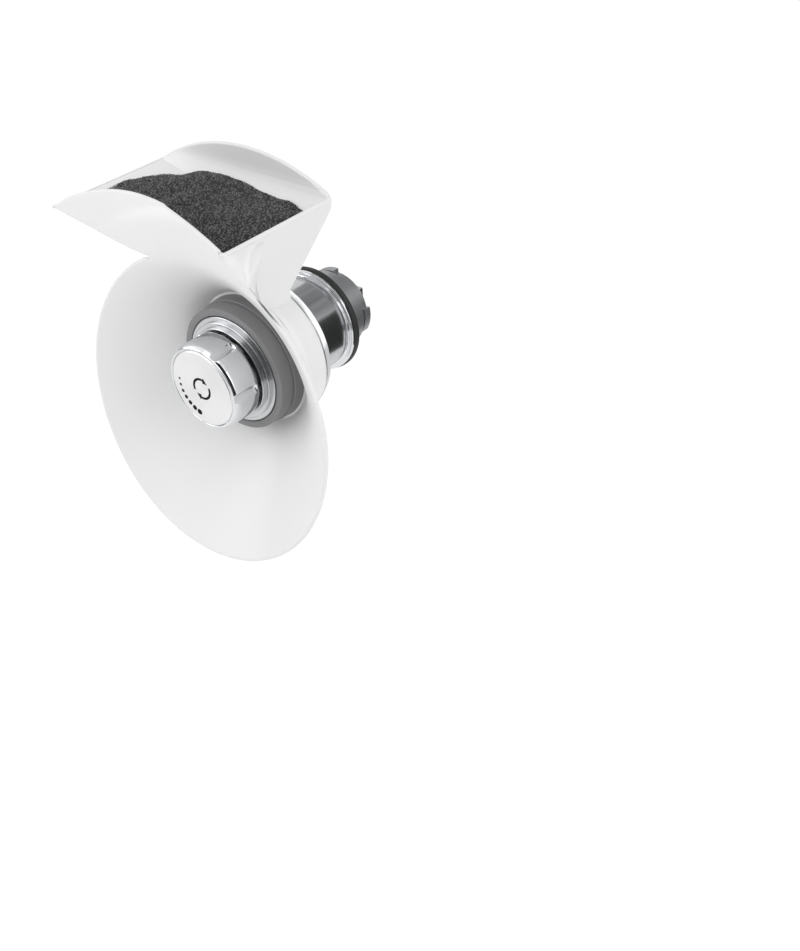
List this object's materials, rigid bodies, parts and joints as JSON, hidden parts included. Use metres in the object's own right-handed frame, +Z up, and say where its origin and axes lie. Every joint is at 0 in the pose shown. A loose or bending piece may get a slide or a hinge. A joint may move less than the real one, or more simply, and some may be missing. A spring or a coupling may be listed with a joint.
{
  "type": "poppy seed mill",
  "caption": "Stand mixer attachment that grinds poppy seed: a side hopper feeds a screw and adjustable conical burrs inside a tilted round discharge dish.",
  "frame": {"origin": "on the mill's axis, in the seat face that meets the mixer's hub", "axes": "+Y along the mill's axis towards the mixer, +Z up, +X to the right of a person facing the dish"},
  "size_m": [0.1859, 0.1333, 0.182],
  "materials": {
    "white_plastic": "semi-gloss moulded",
    "grey_plastic": "satin moulded",
    "polished_steel": "polished and turned",
    "chrome": "mirror plated",
    "spun_aluminium": "spun, with printed dots",
    "burr_steel": "ground and turned",
    "steel": "turned",
    "spring_steel": "drawn wire",
    "auger_metal": "die cast, tumbled",
    "cast_metal": "die cast",
    "bronze": "sintered",
    "brass": "turned",
    "black_rubber": "matte",
    "grey_rubber": "matte",
    "core_plastic": "moulded",
    "washer_plastic": "self-lubricating, natural"
  },
  "bodies": {
    "housing": {"mill_body": "white_plastic", "coupling_collar": "polished_steel", "collar_screws": "steel", "bearing_housing": "cast_metal", "lock_ring": "chrome", "spigot": "cast_metal", "collar_seal": "black_rubber", "front_bush": "bronze", "rear_bush": "bronze", "shaft_seal": "black_rubber", "outer_burr": "burr_steel", "burr_pins": "steel", "burr_gasket": "grey_rubber", "seat_ring": "grey_plastic"},
    "drive_train": {"drive_shaft": "steel", "drive_dog": "steel", "dog_pin": "steel", "retaining_ring": "steel", "thrust_washer": "steel", "feed_screw": "auger_metal", "screw_key": "steel", "burr_key": "steel", "burr_spring": "spring_steel"},
    "grind_cone": {"inner_burr": "burr_steel", "knob_washer": "washer_plastic"},
    "knob": {"knob_shell": "chrome", "knob_disc": "spun_aluminium", "knob_core": "core_plastic", "knob_insert": "brass"},
    "clamp": {"clamp_ring": "washer_plastic"},
    "ring_nut": {"ring_nut": "grey_plastic"}
  },
  "joints": [
    {"name": "shaft_spin", "type": "hinge", "parent": "housing", "child": "drive_train", "pos_m": [0, -0.03, 0], "axis": [0, 1, 0], "continuous": true},
    {"name": "burr_gap", "type": "slide", "parent": "drive_train", "child": "grind_cone", "axis": [0, -1, 0], "range_m": [0, 0.00104], "deforming": ["burr_spring"]},
    {"name": "knob_turn", "type": "hinge", "parent": "grind_cone", "child": "knob", "pos_m": [0, -0.08, 0], "axis": [0, -1, 0], "range_deg": [0, 300]},
    {"name": "nut_travel", "type": "slide", "parent": "housing", "child": "clamp", "axis": [0, -1, 0], "range_m": [0, 0.0015]},
    {"name": "nut_turn", "type": "hinge", "parent": "clamp", "child": "ring_nut", "pos_m": [0, -0.062, 0], "axis": [0, -1, 0], "range_deg": [0, 180]}
  ],
  "couplings": [
    {"joint": "knob_turn", "follows": "burr_gap", "rad_per_m": 5026.5},
    {"joint": "nut_travel", "follows": "nut_turn", "m_per_rad": 0.00047746}
  ]
}
